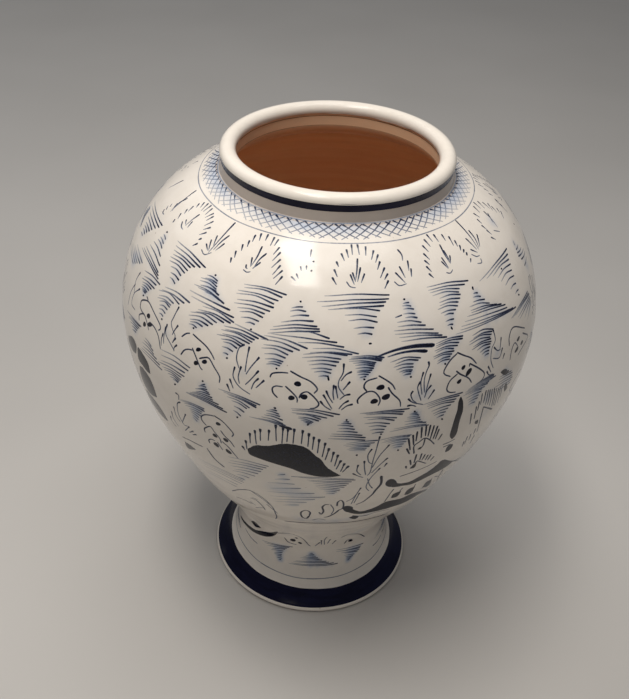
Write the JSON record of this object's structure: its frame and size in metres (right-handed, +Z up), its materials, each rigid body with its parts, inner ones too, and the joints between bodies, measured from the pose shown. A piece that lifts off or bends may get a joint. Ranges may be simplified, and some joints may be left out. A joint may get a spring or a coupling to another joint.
{
  "type": "talavera pottery vase",
  "caption": "Footed baluster vase of tin-glazed earthenware with a rolled lip, short collar, broad shoulder and flared pedestal foot, hand-painted in cobalt blue.",
  "frame": {"origin": "centre of the circle that the foot ring stands on", "axes": "+Z up along the vase's axis; -Y is the side with the painted hill and roofs"},
  "size_m": [0.2487, 0.2488, 0.32],
  "materials": {
    "bare_clay": "matte",
    "slip": "matte",
    "white_glaze": "gloss",
    "grey_white_glaze": "gloss",
    "cobalt_glaze": "gloss"
  },
  "bodies": {
    "root": {"foot_pedestal": "bare_clay", "lower_belly": "bare_clay", "shoulder": "bare_clay", "neck_collar": "bare_clay", "rim_roll": "bare_clay", "foot_slip_joint": "slip", "belly_slip_joint": "slip", "collar_slip_joint": "slip", "rim_slip_joint": "slip", "foot_edge_glaze": "white_glaze", "foot_glaze": "white_glaze", "lower_belly_glaze": "white_glaze", "shoulder_glaze": "white_glaze", "rim_glaze": "white_glaze", "collar_glaze": "grey_white_glaze", "cobalt_foot_band": "cobalt_glaze", "cobalt_collar_band": "cobalt_glaze"}
  },
  "joints": []
}
